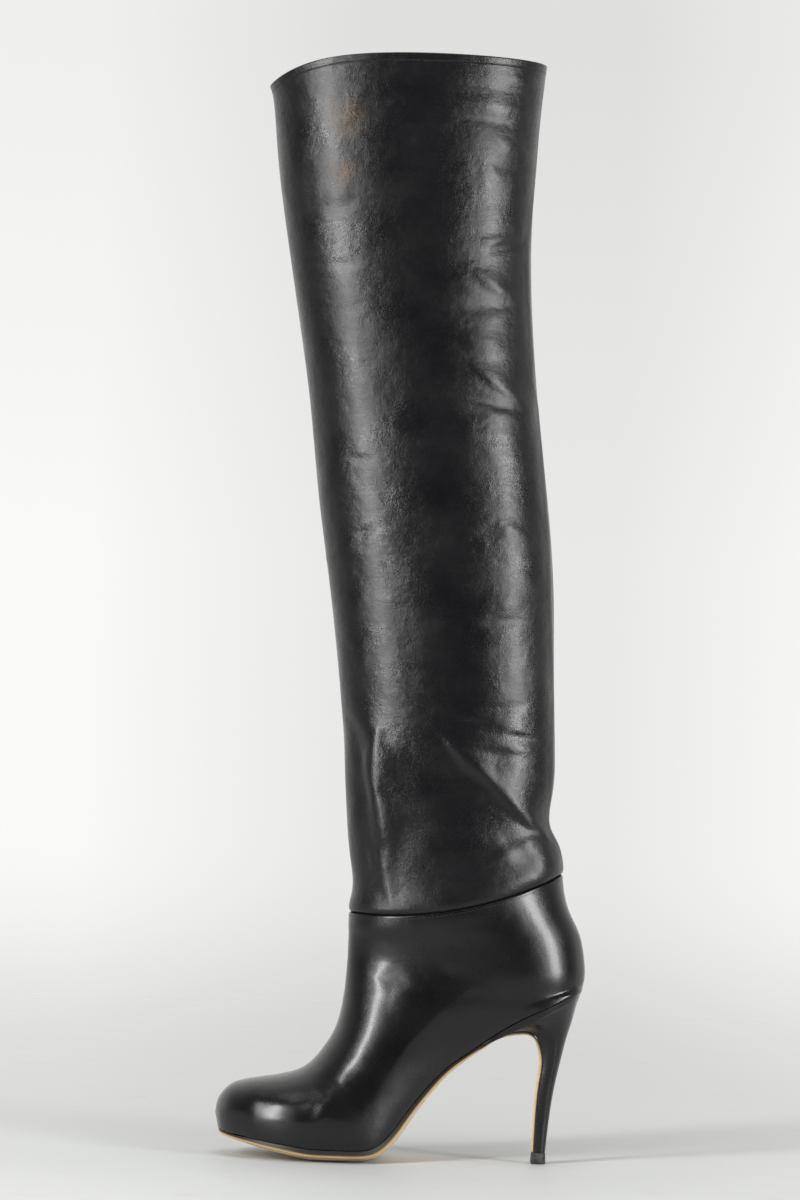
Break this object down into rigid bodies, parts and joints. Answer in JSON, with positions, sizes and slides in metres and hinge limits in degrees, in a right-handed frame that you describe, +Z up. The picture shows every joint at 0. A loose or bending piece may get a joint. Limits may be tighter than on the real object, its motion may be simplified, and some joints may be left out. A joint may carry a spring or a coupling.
{
  "type": "thigh high boot",
  "caption": "Black leather thigh high boot with a round toe, a seam round the ankle, a slim covered stiletto heel and a tan leather sole.",
  "frame": {"origin": "bottom centre of the boot's bounding box, on the floor it stands on", "axes": "+Z up along the shaft, -X toward the toe, +X toward the heel, -Y the outer side of the foot, +Y the inner side"},
  "size_m": [0.222, 0.1, 0.6695],
  "materials": {
    "smooth_black_leather": "smooth, semi gloss",
    "soft_black_leather": "soft nappa, semi gloss",
    "tan_sole_leather": "worn satin",
    "black_rubber": "matt",
    "insole_leather": "matt"
  },
  "bodies": {
    "root": {"upper": "smooth_black_leather", "shaft": "soft_black_leather", "outsole": "tan_sole_leather", "heel": "smooth_black_leather", "top_piece": "black_rubber", "insole": "insole_leather"}
  },
  "joints": []
}
